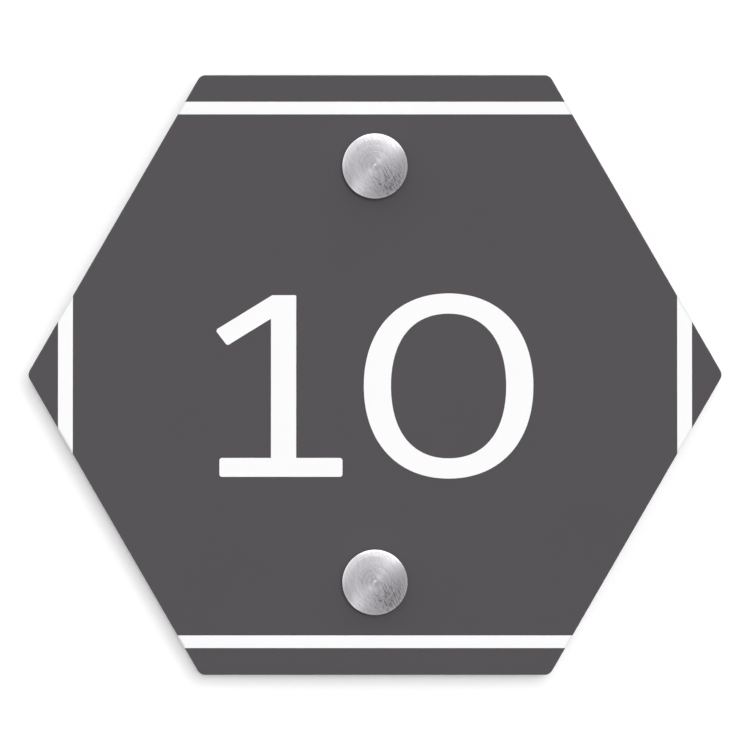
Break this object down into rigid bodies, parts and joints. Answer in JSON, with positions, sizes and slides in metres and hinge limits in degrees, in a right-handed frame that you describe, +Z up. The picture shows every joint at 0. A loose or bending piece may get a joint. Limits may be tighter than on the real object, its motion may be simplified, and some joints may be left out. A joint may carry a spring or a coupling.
{
  "type": "door name plate",
  "caption": "Flat hexagonal door plate with a plain number and border lines in white film, held off the door by turned stand-off fixings with countersunk wood screws.",
  "frame": {"origin": "on the door's surface, midway between the two fixings", "axes": "+X to the viewer's right, +Y into the door, +Z up; the face looks along -Y"},
  "size_m": [0.1594, 0.0556, 0.138],
  "materials": {
    "plate_acrylic": "matt dark grey acrylic sheet",
    "white_film": "white self-adhesive vinyl",
    "turned_metal": "turned, with fine concentric tool marks",
    "clear_washer": "soft translucent",
    "plated_steel": "bright zinc plated"
  },
  "bodies": {
    "root": {"plate": "plate_acrylic", "line_top": "white_film", "line_bottom": "white_film", "line_left": "white_film", "line_right": "white_film", "digit_1": "white_film", "digit_0": "white_film", "cap_upper": "turned_metal", "cap_lower": "turned_metal", "barrel_upper": "turned_metal", "barrel_lower": "turned_metal", "front_washer_upper": "clear_washer", "front_washer_lower": "clear_washer", "rear_washer_upper": "clear_washer", "rear_washer_lower": "clear_washer", "screw_upper": "plated_steel", "screw_lower": "plated_steel"}
  },
  "joints": []
}
